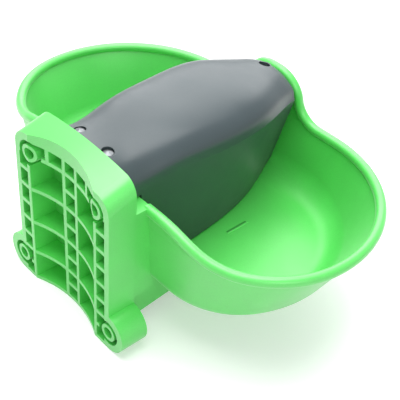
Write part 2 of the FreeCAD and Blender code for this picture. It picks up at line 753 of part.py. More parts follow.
def build_bowl():
    shell_outer = build_bowl_shell()
    bracket = finish_bracket(build_bracket())
    neck_front = d.rear_wall + d.wall + 3
    neck = box("neck", (-d.neck_half, d.bracket_depth - 1, d.neck_bottom), (d.neck_half, neck_front, d.neck_top))
    webs = build_webs()
    cavity = bowl_volume("bowl_cavity", d.wall, d.bowl_bottom + d.wall, d.inner_fillet, 60)
    rear_bosses = []
    for side in (1, -1):
        name = "right" if side > 0 else "left"
        rear_low = d.neck_top - 2
        rear_bosses.append(
            cylinder("rear_boss_" + name, d.screw_boss_radius, d.rear_seat - rear_low,
                     d.rear_screw_x * side, d.rear_screw_y, rear_low)
        )
    front_rib_end = front_wall(d.front_seat) - 0.2
    front_boss = cylinder("front_boss", d.screw_boss_radius, 26, 0, front_screw_y(), d.front_seat - 26)
    front_rib = box("front_rib", (-2, front_screw_y(), d.front_seat - 26), (2, front_rib_end, d.front_seat - 4))
    boss_low = d.bowl_bottom - d.inlet_boss_drop
    inlet_boss = cylinder("inlet_boss", d.inlet_boss_radius, inlet_seat() - boss_low, 0, d.inlet_y, boss_low)
    body = cut("bowl_open", fuse("bowl_block", [shell_outer, neck, webs]), cavity)
    body = fuse("bowl_joined", [body, bracket, build_lip(), front_boss, front_rib, inlet_boss] + rear_bosses)
    bolt_bosses = []
    for number, (x, z) in enumerate(bolt_places()):
        bolt_bosses.append(
            cylinder("bolt_boss_%d" % number, d.bolt_hole_radius + d.boss_wall, d.bracket_depth - 1, x, 0, z, "y")
        )
    body = fuse("bowl_bossed", [body] + bolt_bosses)
    tools = []
    for number, (x, z) in enumerate(bolt_places()):
        tools.append(cylinder("bolt_hole_%d" % number, d.bolt_hole_radius, d.bracket_depth + 2, x, -1, z, "y"))
    recess_y = d.post_recess - d.post_radius
    tools.append(cylinder("post_recess_tool", d.post_radius, 2 * THROUGH_ALL, 0, recess_y, -THROUGH_ALL))
    pilot = d.screw_radius + d.fit
    for number, side in enumerate((1, -1)):
        tools.append(cylinder("rear_pilot_%d" % number, pilot, d.screw_length + 2, d.rear_screw_x * side,
                              d.rear_screw_y, d.rear_seat - d.screw_length - 1))
    tools.append(cylinder("front_pilot", pilot, d.screw_length + 2, 0, front_screw_y(),
                          d.front_seat - d.screw_length - 1))
    tools.append(cylinder("inlet_hole", d.inlet_radius + 0.5, 20, 0, d.inlet_y, d.bowl_bottom - 10))
    tools.append(cylinder("drain_hole", d.drain_radius + d.joint_gap, 20, 0, d.drain_y, d.bowl_bottom - 10))
    return cut("bowl_body", body, fuse("bowl_cuts", tools))


def build_webs():
    """Two upright webs under the neck that carry the bowl and guard the inlet."""
    body = new_body("webs")
    turn = 30
    profile = [
        (d.bracket_depth - 1, d.web_low),
        (d.web_reach - turn, d.web_low + 8),
        (d.web_reach, d.web_low + 8 + turn, turn, True),
        (d.web_reach, d.bowl_bottom + 6),
        (d.bracket_depth - 1, d.bowl_bottom + 6),
    ]
    web = sketch_on(body, "web_profile", "YZ_Plane", [profile], offset=d.web_offset - d.web_thickness)
    right = pad(body, web, d.web_thickness)
    mirror_feature(body, "web_pair", right)
    return body


def cover_section(section, inward):
    """Right half of one cross-section of the cover, moved in by a wall thickness."""
    y, crown, half, drop, fullness, crease, foot = section
    low = d.bowl_bottom.value - 1
    half = half - inward
    drop = drop - inward
    shoulder_z = crown - inward - drop
    arch = []
    for angle in (0, 24, 45, 68, 90):
        across = math.sin(math.radians(angle)) ** (2 / fullness)
        above = math.cos(math.radians(angle)) ** (2 / fullness) if angle < 90 else 0
        arch.append(FreeCAD.Vector(half * across, y, shoulder_z + drop * above))
    turn = math.radians(crease)
    crown_line = Part.BSplineCurve()
    crown_line.interpolate(
        Points=arch, InitialTangent=FreeCAD.Vector(1, 0, 0),
        FinalTangent=FreeCAD.Vector(math.sin(turn), 0, -math.cos(turn))
    )
    low_side = FreeCAD.Vector(foot - inward, y, low)
    low_middle = FreeCAD.Vector(0, y, low)
    return Part.Wire([
        crown_line.toShape(),
        Part.makeLine(arch[-1], low_side),
        Part.makeLine(low_side, low_middle),
        Part.makeLine(low_middle, arch[0]),
    ])


def cover_loft(name, inward, overhang):
    """Right half of the cover as a solid block, smooth from the rear to the front."""
    sections = [list(section) for section in COVER_SECTIONS]
    rear = sections[0][0]
    stretch = (cover_front().value - rear) / (sections[-1][0] - rear)
    for section in sections:
        section[0] = rear + (section[0] - rear) * stretch
    sections[0][0] -= overhang
    sections[-1][0] += overhang
    wires = [cover_section(section, inward) for section in sections]
    # a low degree keeps the skin from waving between sections that are unevenly spaced
    return feature(name, Part.makeLoft(wires, True, False, False, 3))


def mirrored(name, source):
    """The same shape on the other side of the middle plane."""
    mirror = doc.addObject("Part::Mirroring", name)
    mirror.Source = source
    mirror.Normal = FreeCAD.Vector(1, 0, 0)
    return mirror


def build_cover():
    half = cut("cover_half", cover_loft("cover_outside", 0, 0), cover_loft("cover_inside", d.cover_wall.value, 0.5))
    hood = fuse("cover_hood", [half, mirrored("cover_other_half", half)])
    room = bowl_volume("cover_room", d.wall + d.cover_gap, d.bowl_bottom + d.wall + d.cover_gap,
                       d.inner_fillet - d.cover_gap, 40)
    above = box("cover_above", (-90, 0, d.neck_top + 2), (90, cover_front() + 20, 130))
    hood = common("cover_trimmed", hood, fuse("cover_space", [room, above]))
    bosses = []
    recesses = []
    seats = [
        ("right", d.rear_screw_x, d.rear_screw_y, d.rear_seat, 5),
        ("left", -d.rear_screw_x, d.rear_screw_y, d.rear_seat, 5),
        ("front", term(0), front_screw_y(), d.front_seat, 9),
    ]
    for name, x, y, seat, height in seats:
        bosses.append(cylinder("cover_boss_" + name, d.screw_boss_radius - 0.5, height, x, y, seat))
        recesses.append(cylinder("cover_hole_" + name, d.screw_radius + 0.5, 30, x, y, seat - 2))
        recesses.append(cylinder("cover_recess_" + name, d.counterbore_radius, 30, x, y, seat + d.screw_floor))
    return cut("cover", fuse("cover_bossed", [hood] + bosses), fuse("cover_cuts", recesses))


def build_cover_screws():
    screws = []
    seats = [
        ("right", d.rear_screw_x, d.rear_screw_y, d.rear_seat),
        ("left", -d.rear_screw_x, d.rear_screw_y, d.rear_seat),
        ("front", term(0), front_screw_y(), d.front_seat),
    ]
    for name, x, y, seat in seats:
        profile = [
            (0, -d.screw_length),
            (d.screw_radius, -d.screw_length),
            (d.screw_radius, d.screw_floor),
            (d.head_radius, d.screw_floor),
            (d.head_radius, d.screw_floor + d.head_height * 0.45),
            (0, d.screw_floor + d.head_height),
        ]
        screws.append(turned("cover_screw_" + name, profile, x, y, seat))
    return fuse("cover_screws", screws)


def hexagon_nut(name, flats, bore, height, x, y, z):
    """A hexagon nut: a six-sided prism with its bore."""
    prism = doc.addObject("Part::Prism", name + "_prism")
    prism.Polygon = 6
    bind(prism, "Circumradius", flats / cosine(30) / 2)
    bind(prism, "Height", height)
    place(prism, x, y, z)
    return cut(name, prism, cylinder(name + "_bore", bore, height + 2, x, y, z - 1))


def ring(name, inner, outer, height, x, y, z):
    """A flat ring: seals and washers."""
    return turned(name, [(inner, 0), (outer, 0), (outer, height), (inner, height)], x, y, z)


def floor_height():
    return d.bowl_bottom + d.wall


def inlet_seat():
    """Top of the flat boss that the inlet flange seals on."""
    return floor_height() + d.inlet_boss_rise


def build_valve_body():
    """Brass body: a threaded stem up through the floor and a level barrel for the piston."""
    flange_low = inlet_seat() + d.gasket
    relief_top = d.bowl_bottom - d.inlet_boss_drop - d.gasket - d.nut_height
    relief_low = relief_top - d.relief_height
    stem = cylinder("valve_stem", d.inlet_radius, d.barrel_z - relief_top, 0, d.inlet_y, relief_top)
    relief = cylinder("inlet_relief", d.inlet_radius - 1.2, d.relief_height + 2, 0, d.inlet_y, relief_low - 1)
    thread = cylinder("inlet_thread", d.inlet_radius, relief_low - d.inlet_end, 0, d.inlet_y, d.inlet_end)
    flange = cylinder("valve_flange", d.flange_radius, d.flange_height, 0, d.inlet_y, flange_low)
    barrel = cylinder("valve_barrel", d.barrel_radius, d.barrel_front - d.barrel_rear, 0, d.barrel_rear, d.barrel_z,
                      "y")
    cap = cylinder("valve_rear_cap", d.barrel_radius - 3, 4, 0, d.barrel_rear - 4, d.barrel_z, "y")
    pivot_z = d.barrel_z - d.pivot_drop
    lug_inside = d.lever_half + d.joint_gap
    lug_outside = lug_inside + d.lug_thickness
    lugs = []
    for side, low, high in (("right", lug_inside, lug_outside), ("left", -lug_outside, -lug_inside)):
        eye = cylinder("lug_eye_" + side, d.pin_radius + 3.5, d.lug_thickness, low, d.pivot_y, pivot_z, "x")
        arm = box("lug_arm_" + side, (low, d.pivot_y - d.pin_radius - 3.5, pivot_z),
                  (high, d.pivot_y + d.pin_radius + 3.5, d.barrel_z - 6))
        lugs += [eye, arm]
    body = fuse("valve_block", [stem, relief, thread, flange, barrel, cap] + lugs)
    nozzle_rear = d.seat_y - 10
    tools = [
        cylinder("stem_bore", d.inlet_bore, d.barrel_z - d.inlet_end + 1, 0, d.inlet_y, d.inlet_end - 1),
        cylinder("water_way", d.inlet_bore, nozzle_rear - d.inlet_y + 1, 0, d.inlet_y, d.barrel_z, "y"),
        cylinder("piston_bore", d.piston_radius + d.fit, d.barrel_front - nozzle_rear + 1, 0, nozzle_rear,
                 d.barrel_z, "y"),
        box("outlet_slot", (-lug_inside, d.seat_y + 3, d.barrel_z - d.barrel_radius - 1),
            (lug_inside, d.barrel_front + 1, d.barrel_z - 5)),
        cylinder("pin_hole", d.pin_radius + 0.02, 40, -20, d.pivot_y, pivot_z, "x"),
    ]
    return cut("valve_body", body, fuse("valve_cuts", tools))


def build_nozzle():
    """White jet with its raised seat, pushed into the rear of the piston bore."""
    body = turned("nozzle_turned", [
        (d.orifice, 0),
        (d.piston_radius, 0),
        (d.piston_radius, 5),
        (d.orifice + 2.5, 7),
        (d.orifice + 1, 10),
        (d.orifice, 10),
    ])
    return laid_down("valve_nozzle", body, d.seat_y - 10)


def laid_down(name, body, y):
    """Turns an upright piece so that its axis points along +Y in the barrel."""
    body.Placement.Rotation = FreeCAD.Rotation(FreeCAD.Vector(1, 0, 0), -90)
    place(body, 0, y, d.barrel_z)
    body.Label = name
    return body


def valve_travel():
    return d.cam_reach * sine(d.half_swing) * 2


def build_piston():
    """Piston with a recess for the seal, a slot for the lever cam and its sealing face."""
    face_y = d.seat_y + valve_travel() + 0.2
    body_y = face_y + 0.4
    blank = cylinder("piston_blank", d.piston_radius, d.piston_length, 0, body_y, d.barrel_z, "y")
    seat = cylinder("seal_recess", d.seal_radius + d.fit, d.seal_thickness - 0.4, 0, body_y, d.barrel_z, "y")
    thread = cylinder("cap_recess", d.piston_radius + 1, 2, 0, body_y, d.barrel_z, "y")
    neck = cylinder("cap_neck", d.seal_radius + 1, 4, 0, body_y - 1, d.barrel_z, "y")
    slot_half = d.cam_radius + d.joint_gap
    slot_centre = d.pivot_y + d.cam_reach * sine(d.half_swing)
    slot = box("cam_slot", (-d.lever_half - d.joint_gap, slot_centre - slot_half, d.barrel_z - d.piston_radius - 1),
               (d.lever_half + d.joint_gap, slot_centre + slot_half, d.barrel_z + 1))
    shoulder = cut("cap_shoulder", thread, neck)
    return cut("valve_piston", blank, fuse("piston_cuts", [seat, slot, shoulder]))


def build_seal():
    face_y = d.seat_y + valve_travel() + 0.2
    return cylinder("piston_seal", d.seal_radius, d.seal_thickness, 0, face_y, d.barrel_z, "y")


def build_seal_cap():
    """Ring that holds the seal in the piston, screwed over the neck of the piston."""
    body_y = d.seat_y + valve_travel() + 0.6
    blank = cylinder("cap_blank", d.piston_radius, 2, 0, body_y, d.barrel_z, "y")
    opening = cylinder("cap_opening", d.seal_radius + 1 + d.fit, 4, 0, body_y - 1, d.barrel_z, "y")
    return cut("seal_cap", blank, opening)


def on_lever(name, shape):
    """Puts a piece drawn at mid swing on the pivot, with the lever hanging at its lower stop."""
    shape.Placement = FreeCAD.Placement(
        FreeCAD.Vector(0, d.pivot_y.value, (d.barrel_z - d.pivot_drop).value),
        FreeCAD.Rotation(FreeCAD.Vector(1, 0, 0), -d.half_swing.value),
    )
    bind(shape, "Placement.Base.y", d.pivot_y)
    bind(shape, "Placement.Base.z", d.barrel_z - d.pivot_drop)
    bind(shape, "Placement.Rotation.Angle", d.half_swing)
    shape.Placement.Rotation.Axis = FreeCAD.Vector(-1, 0, 0)
    shape.Label = name
    return shape


def build_lever():
    """Flat brass lever: cam, hub, arm and the eye that carries the float stem."""
    hub = d.pin_radius + 3
    eye = d.stem_radius + 4
    arm_half = d.lever_plate / 2
    parts = [
        cylinder("lever_hub", hub, d.lever_half * 2, -d.lever_half, 0, 0, "x"),
        cylinder("lever_cam", d.cam_radius, d.lever_half * 2, -d.lever_half, 0, d.cam_reach, "x"),
        box("lever_neck", (-d.lever_half, -1.6, 0), (d.lever_half, 1.6, d.cam_reach)),
        box("lever_arm", (-d.lever_half, 0, -arm_half), (d.lever_half, d.lever_length - eye + 1, arm_half)),
        cylinder("lever_eye", eye, arm_half * 2, 0, d.lever_length, -arm_half),
    ]
    holes = [
        cylinder("lever_pin_hole", d.pin_radius + d.fit, 20, -10, 0, 0, "x"),
        cylinder("lever_eye_hole", d.stem_radius + d.fit, 20, 0, d.lever_length, -10),
    ]
    return on_lever("float_lever", cut("float_lever", fuse("lever_block", parts), fuse("lever_holes", holes)))


def float_half_profile(upper):
    """Half profile of one hollow float shell, from the seam to its end."""
    sign = 1 if upper else -1
    half = d.float_height / 2
    corner = 7
    outer = d.float_radius
    wall = d.float_wall
    loop = [
        (outer, 0),
        (outer, (half - corner) * sign),
        (outer - corner, half * sign, corner, upper),
        (d.stem_radius + d.fit if upper else 0, half * sign),
        (d.stem_radius + d.fit if upper else 0, (half - wall) * sign),
        (outer - corner, (half - wall) * sign),
        (outer - wall, (half - corner) * sign, corner - wall, not upper),
        (outer - wall, 0),
    ]
    return loop


def build_float_shell(name, upper):
    """Half of the hollow float; both halves meet on a flat seam."""
    body = turned(name + "_turned", float_half_profile(upper), 0, d.lever_length, -d.float_drop - d.float_height / 2)
    shell = doc.addObject("Part::Compound", name)
    shell.Links = [body]
    return on_lever(name, shell)


def build_float_stem():
    """Screw with its head inside the float; the lever and the float are clamped on it."""
    head_top = -d.float_drop - d.float_wall
    profile = [
        (0, head_top - 3),
        (d.stem_radius * 2, head_top - 3),
        (d.stem_radius * 2, head_top),
        (d.stem_radius, head_top),
        (d.stem_radius, d.float_drop),
        (0, d.float_drop),
    ]
    stem = doc.addObject("Part::Compound", "float_stem")
    stem.Links = [turned("float_stem_turned", profile, 0, d.lever_length, 0)]
    return on_lever("float_stem", stem)


def build_float_nuts():
    bore = d.stem_radius + 0.02
    heights = [-d.float_drop, -d.lever_plate / 2 - d.small_nut_height, d.lever_plate / 2]
    nuts = []
    for number, height in enumerate(heights):
        name = "float_nut_%d" % number
        nuts.append(hexagon_nut(name, d.small_nut_flats, bore, d.small_nut_height, 0, d.lever_length, height))
    return on_lever("float_nuts", fuse("float_nuts", nuts))


def build_lever_pin():
    lug_outside = d.lever_half + d.joint_gap + d.lug_thickness
    pivot_z = d.barrel_z - d.pivot_drop
    shaft = cylinder("pin_shaft", d.pin_radius, lug_outside * 2 + 3, -lug_outside - 3, d.pivot_y, pivot_z, "x")
    head = cylinder("pin_head", d.pin_radius + 1.5, 1.5, lug_outside, d.pivot_y, pivot_z, "x")
    return fuse("lever_pin", [shaft, head])


def build_pin_clip():
    """Open ring clip on the free end of the lever pin."""
    lug_outside = d.lever_half + d.joint_gap + d.lug_thickness
    pivot_z = d.barrel_z - d.pivot_drop
    blank = cylinder("clip_blank", d.pin_radius + 2, 0.8, -lug_outside - 0.8, d.pivot_y, pivot_z, "x")
    bore = cylinder("clip_bore", d.pin_radius + 0.02, 3, -lug_outside - 2, d.pivot_y, pivot_z, "x")
    mouth = box("clip_mouth", (-lug_outside - 2, d.pivot_y - 1.5, pivot_z - d.pin_radius - 4),
                (-lug_outside + 1, d.pivot_y + 1.5, pivot_z))
    return cut("pin_clip", blank, fuse("clip_cuts", [bore, mouth]))


def build_strainer():
    """Strainer cup with a brim, pushed into the lower end of the inlet."""
    outer = d.inlet_bore - 0.05
    inner = outer - 1
    height = 22
    cup = turned("strainer_turned", [
        (inner, -1.2),
        (d.inlet_radius - 1.5, -1.2),
        (d.inlet_radius - 1.5, 0),
        (outer, 0),
        (outer, height),
        (0, height),
        (0, height - 1),
        (inner, height - 1),
    ], 0, d.inlet_y, d.inlet_end)
    slot_low = d.inlet_end + 4
    slot_high = d.inlet_end + height - 4
    slots = [
        box("strainer_slot_x", (-8, d.inlet_y - 1.5, slot_low), (8, d.inlet_y + 1.5, slot_high)),
        box("strainer_slot_y", (-1.5, d.inlet_y - 8, slot_low), (1.5, d.inlet_y + 8, slot_high)),
    ]
    return cut("inlet_strainer", cup, fuse("strainer_slots", slots))


def build_drain_plug():
    """Plug with a flange below the floor and a flat grip, flush with the floor inside."""
    flange_top = d.bowl_bottom - d.gasket
    grip_low = flange_top - d.drain_flange_height - d.grip_height
    shaft = cylinder("plug_shaft", d.drain_radius, floor_height() - flange_top, 0, d.drain_y, flange_top)
    flange = cylinder("plug_flange", d.drain_flange, d.drain_flange_height, 0, d.drain_y,
                      flange_top - d.drain_flange_height)
    grip = box("plug_grip", (-d.drain_flange + 2, d.drain_y - 2.5, grip_low),
               (d.drain_flange - 2, d.drain_y + 2.5, flange_top - 1))
    return fuse("drain_plug", [shaft, flange, grip])


def build_all():
    hole = d.inlet_radius + 0.5
    bottom_seat = d.bowl_bottom - d.inlet_boss_drop
    return [
        build_bowl(),
        build_cover(),
        build_cover_screws(),
        build_valve_body(),
        ring("inlet_gasket", hole, d.flange_radius, d.gasket, 0, d.inlet_y, inlet_seat()),
        ring("inlet_washer", hole, d.flange_radius, d.gasket, 0, d.inlet_y, bottom_seat - d.gasket),
        hexagon_nut("inlet_backnut", d.nut_flats, d.inlet_radius + 0.02, d.nut_height, 0, d.inlet_y,
                    bottom_seat - d.gasket - d.nut_height),
        build_strainer(),
        build_nozzle(),
        build_piston(),
        build_seal(),
        build_seal_cap(),
        build_lever(),
        build_lever_pin(),
        build_pin_clip(),
        build_float_shell("float_upper", True),
        build_float_shell("float_lower", False),
        build_float_stem(),
        build_float_nuts(),
        build_drain_plug(),
        ring("drain_seal", d.drain_radius + 0.2, d.drain_flange - 1, d.gasket, 0, d.drain_y,
             d.bowl_bottom - d.gasket),
    ]


def check(objects):
    """Stops before anything is written if an object failed."""
    for item in doc.Objects:
        if "Invalid" in item.State or "Error" in item.State:
            raise RuntimeError("%s did not compute" % item.Name)
    for item in objects:
        if item.Shape.isNull() or not item.Shape.isValid() or not item.Shape.Solids:
            raise RuntimeError("%s has no valid solid" % item.Label)


sub_parts = build_all()
doc.recompute()
check(sub_parts)
os.makedirs("parts", exist_ok=True)
for item in sub_parts:
    item.Shape.exportStep("parts/%s.step" % item.Label)
    bounds = item.Shape.BoundBox
    print(item.Label, len(item.Shape.Solids), round(item.Shape.Volume),
          [round(value, 1) for value in (bounds.XMin, bounds.YMin, bounds.ZMin, bounds.XMax, bounds.YMax, bounds.ZMax)])
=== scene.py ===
"""Looks of the double drinking bowl: its materials, finished pieces, light, floor and camera."""

import math

import bmesh
import bpy
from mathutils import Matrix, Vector


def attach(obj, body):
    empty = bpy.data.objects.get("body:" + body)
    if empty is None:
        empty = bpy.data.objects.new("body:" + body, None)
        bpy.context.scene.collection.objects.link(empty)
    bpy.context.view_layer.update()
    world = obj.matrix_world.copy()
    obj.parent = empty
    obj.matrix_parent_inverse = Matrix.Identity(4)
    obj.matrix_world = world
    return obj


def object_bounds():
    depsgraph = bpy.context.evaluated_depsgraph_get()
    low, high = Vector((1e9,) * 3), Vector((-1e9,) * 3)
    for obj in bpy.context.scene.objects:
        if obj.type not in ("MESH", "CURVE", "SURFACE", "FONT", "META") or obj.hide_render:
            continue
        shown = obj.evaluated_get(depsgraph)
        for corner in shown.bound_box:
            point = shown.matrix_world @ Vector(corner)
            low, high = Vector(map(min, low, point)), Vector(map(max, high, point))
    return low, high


bl_info = {
    "name": "Livestock drinking bowl",
    "version": (1, 0, 0),
    "blender": (4, 5, 0),
    "location": "View3D > Sidebar > Drinking bowl",
    "description": "Builds the looks of a double drinking bowl around its packed solids",
    "category": "Object",
}

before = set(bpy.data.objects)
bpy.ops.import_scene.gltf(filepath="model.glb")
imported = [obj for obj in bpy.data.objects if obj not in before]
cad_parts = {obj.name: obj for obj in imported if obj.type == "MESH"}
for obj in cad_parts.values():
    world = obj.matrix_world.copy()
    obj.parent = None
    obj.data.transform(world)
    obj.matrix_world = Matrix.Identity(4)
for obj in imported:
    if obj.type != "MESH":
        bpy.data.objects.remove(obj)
CAD_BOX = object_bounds()

# Patterns of the moulded plastics, in metres: clouds of tone where the melt flowed, rubbed places,
# the slow swell of the surface, and the pigment's specks, drawn coarser than real ones so that they show.
CLOUD_SIZE = 0.07143
RUB_SIZE = 0.03125
SWELL_SIZE = 0.025
SPECK_SIZE = 0.001111

# Depth of the swell and of the grain that the mould leaves, in metres. Rubber comes from a rougher mould.
SWELL_DEPTH = 0.00012
GRAIN_DEPTH = 0.00002
RUBBER_DEPTH = 0.00004

# Stains on the metals and the depth of their tool marks, in metres.
STAIN_SIZE = 0.008333
TOOL_MARK_DEPTH = 0.00004

# The middle of the moulded mark, on the floor of the right lobe. Its ridge stands beside a darker bar of
# painted
# shade that stands for its groove: how far, and how wide, as shares of the mark's width.
# Its edges are rounded by a share of its height.
MARK_PLACE = (0.0645, 0.161, -0.028)
RIDGE_SHIFT = 0.75
RIDGE_WIDTH = 0.6
EDGE_ROUNDING = 0.45

# The photograph's viewpoint: lens in millimetres, shift, place in metres and turn in degrees.
LENS = 78.99
SHIFT_X = 0.0365
SHIFT_Y = -0.01825
CAMERA_PLACE = (0.49471, -0.32721, 0.54172)
CAMERA_TURN = (50.6052, -3.2586, 48.6735)

# Soft lights: place, size and power. Each one faces the middle of the bowl.
MIDDLE = (0.0, 0.13, 0.0)
LIGHTS = {
    "top_light": ((-0.2, 0.1, 1.5), (1.4, 1.4), 31.0),
    "back_light": ((-1.0, 1.3, 1.0), (2.0, 1.2), 22.0),
    "front_light": ((1.7, -0.5, 0.9), (1.2, 0.9), 9.0),
}
WHITE = (1.0, 1.0, 1.0, 1.0)
SKY_STRENGTH = 0.45
FLOOR_GREY = (0.8, 0.8, 0.8, 1.0)
FLOOR_GLOW = 0.35
FLOOR_GAP = 0.0005


def linear(hex_code):
    """sRGB hex to the linear colour that shaders take."""
    channels = [int(hex_code[i:i + 2], 16) / 255 for i in (1, 3, 5)]
    return [c / 12.92 if c <= 0.04045 else ((c + 0.055) / 1.055) ** 2.4 for c in channels]


def colour(name, hex_code, description):
    return bpy.props.FloatVectorProperty(
        name=name, description=description, subtype="COLOR", size=3, min=0.0, max=1.0,
        default=linear(hex_code),
    )


class BowlColours(bpy.types.PropertyGroup):
    bowl: colour("Bowl", "#54D359", "Apple green of the moulded bowl")
    cover: colour("Cover", "#3A464A", "Slate grey of the cover")
    brass: colour("Brass", "#B08D4A", "Valve, lever and stem")
    steel: colour("Steel", "#7C7F82", "Screws, pin and clip")
    rubber: colour("Rubber", "#1C1D1E", "Flat seals")
    nozzle: colour("Nozzle", "#E9E8E2", "White plastic of the jet and the strainer")
    float: colour("Float", "#1E4F93", "Blue plastic of the float")
    plug: colour("Plug", "#232427", "Black plastic of the drain plug")
    # painted shade: the dark green of the bar that stands for the shade inside the mark's groove
    mark: colour("Mark", "#339B3A", "Shaded groove beside the ridge of the moulded mark")


class BowlSizes(bpy.types.PropertyGroup):
    grain: bpy.props.FloatProperty(
        name="Grain", description="Spacing of the fine grain of the moulded plastics", subtype="DISTANCE",
        default=0.0011, min=0.0002, max=0.01,
    )
    mark_length: bpy.props.FloatProperty(
        name="Mark length", description="Length of the moulded mark on the bowl's floor", subtype="DISTANCE",
        default=0.026, min=0.005, max=0.1,
    )
    mark_width: bpy.props.FloatProperty(
        name="Mark width", description="Width of the moulded mark", subtype="DISTANCE",
        default=0.0024, min=0.0005, max=0.01,
    )
    mark_height: bpy.props.FloatProperty(
        name="Mark height", description="Height of the moulded mark above the floor", subtype="DISTANCE",
        default=0.0006, min=0.0001, max=0.005,
    )
    floor: bpy.props.FloatProperty(
        name="Floor", description="Half width of the floor", subtype="DISTANCE",
        default=6.0, min=1.0, max=50.0,
    )


def add_node(tree, kind, sockets=None, **settings):
    """Adds one shader node; a socket takes a value or the output of another node."""
    made = tree.nodes.new(kind)
    for name, value in settings.items():
        setattr(made, name, value)
    for name, value in (sockets or {}).items():
        if isinstance(value, bpy.types.NodeSocket):
            tree.links.new(value, made.inputs[name])
        else:
            made.inputs[name].default_value = value
    return made


def new_material(name):
    """An empty node material."""
    material = bpy.data.materials.new(name)
    material.use_nodes = True
    material.node_tree.nodes.clear()
    return material, material.node_tree


def two_tones(ramp, base, dark, light):
    """Two tones of a base colour; dark and light are each a place on the ramp and a share of the base."""
    for element, (position, share) in zip(ramp.elements, (dark, light)):
        element.position = position
        element.color = [min(channel * share, 1.0) for channel in base] + [1.0]


def moulded_plastic(name, base, roughness, grain, depth=GRAIN_DEPTH, shine=0.5, haze=0.0):
    """Injection moulded plastic: a fine even grain, faint flow clouds and slightly uneven gloss."""
    material, tree = new_material(name)
    place = add_node(tree, "ShaderNodeTexCoord").outputs["Object"]
    clouds = add_node(tree, "ShaderNodeTexNoise", {
        "Vector": place, "Scale": 1 / CLOUD_SIZE, "Detail": 3.0, "Roughness": 0.55,
    })
    tone = add_node(tree, "ShaderNodeValToRGB", {"Fac": clouds.outputs["Fac"]})
    two_tones(tone.color_ramp, base, dark=(0.3, 0.94), light=(0.72, 1.05))
    specks = add_node(tree, "ShaderNodeTexNoise", {"Vector": place, "Scale": 1 / SPECK_SIZE, "Detail": 2.0})
    speck_mask = add_node(tree, "ShaderNodeMapRange", {
        "Value": specks.outputs["Fac"], "From Min": 0.36, "From Max": 0.66, "To Min": 0.97, "To Max": 1.03,
    })
    mixed = add_node(tree, "ShaderNodeMix", {
        "Factor": 1.0, "A": tone.outputs["Color"], "B": speck_mask.outputs["Result"],
    }, data_type="RGBA", blend_type="MULTIPLY")
    rub = add_node(tree, "ShaderNodeTexNoise", {
        "Vector": place, "Scale": 1 / RUB_SIZE, "Detail": 5.0, "Roughness": 0.7,
    })
    gloss = add_node(tree, "ShaderNodeMapRange", {
        "Value": rub.outputs["Fac"], "From Min": 0.3, "From Max": 0.7, "To Min": roughness - 0.03,
        "To Max": roughness + 0.06,
    })
    fine = add_node(tree, "ShaderNodeTexNoise", {"Vector": place, "Scale": 1 / grain, "Detail": 2.0})
    wave = add_node(tree, "ShaderNodeTexNoise", {"Vector": place, "Scale": 1 / SWELL_SIZE, "Detail": 1.0})
    swell = add_node(tree, "ShaderNodeBump", {
        "Strength": 0.5, "Distance": SWELL_DEPTH, "Height": wave.outputs["Fac"],
    })
    grainy = add_node(tree, "ShaderNodeBump", {
        "Strength": 0.6, "Distance": depth, "Height": fine.outputs["Fac"], "Normal": swell.outputs["Normal"],
    })
    shader = add_node(tree, "ShaderNodeBsdfPrincipled", {
        "Base Color": mixed.outputs["Result"], "Roughness": gloss.outputs["Result"],
        "Normal": grainy.outputs["Normal"], "IOR": 1.49, "Specular IOR Level": shine,
        "Sheen Weight": haze, "Sheen Roughness": 0.35,
    })
    add_node(tree, "ShaderNodeOutputMaterial", {"Surface": shader.outputs["BSDF"]})
    return material


def turned_metal(name, base, roughness, marks):
    """Cast and turned metal: tool marks, small stains and slightly uneven roughness."""
    material, tree = new_material(name)
    place = add_node(tree, "ShaderNodeTexCoord").outputs["Object"]
    stain = add_node(tree, "ShaderNodeTexNoise", {"Vector": place, "Scale": 1 / STAIN_SIZE, "Detail": 4.0})
    tone = add_node(tree, "ShaderNodeValToRGB", {"Fac": stain.outputs["Fac"]})
    two_tones(tone.color_ramp, base, dark=(0.32, 0.82), light=(0.7, 1.06))
    rings = add_node(tree, "ShaderNodeTexWave", {
        "Vector": place, "Scale": 1 / marks, "Distortion": 1.5, "Detail": 2.0,
    }, wave_type="BANDS", bands_direction="Z")
    gloss = add_node(tree, "ShaderNodeMapRange", {
        "Value": stain.outputs["Fac"], "From Min": 0.3, "From Max": 0.7, "To Min": roughness,
        "To Max": roughness + 0.14,
    })
    bump = add_node(tree, "ShaderNodeBump", {
        "Strength": 0.35, "Distance": TOOL_MARK_DEPTH, "Height": rings.outputs["Fac"],
    })
    shader = add_node(tree, "ShaderNodeBsdfPrincipled", {
        "Base Color": tone.outputs["Color"], "Metallic": 1.0, "Roughness": gloss.outputs["Result"],
        "Normal": bump.outputs["Normal"],
    })
    add_node(tree, "ShaderNodeOutputMaterial", {"Surface": shader.outputs["BSDF"]})
    return material


def green_polypropylene(name, base, grain):
    """The bowl's plastic: glossy from a polished mould, with a pale haze where it is seen at a slant."""
    return moulded_plastic(name, base, roughness=0.36, grain=grain, shine=1.0, haze=0.45)


def nitrile_rubber(name, base, grain):
    """Flat seals: matt black rubber with a finer, deeper grain than the plastics."""
    return moulded_plastic(name, base, roughness=0.75, grain=grain * 0.5, depth=RUBBER_DEPTH, shine=0.3)


def dress(nodes, material):
    """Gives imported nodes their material."""
    for node in nodes:
        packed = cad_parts[node]
        packed.data.materials.clear()
        packed.data.materials.append(material)


class BuildBowl(bpy.types.Operator):
    """Builds the green bowl"""
    bl_idname = "drinking_bowl.bowl"
    bl_label = "Bowl"

    def execute(self, context):
        colours = context.scene.bowl_colours
        grain = context.scene.bowl_sizes.grain
        dress(["bowl_body"], green_polypropylene("green_polypropylene", colours.bowl, grain))
        return {"FINISHED"}


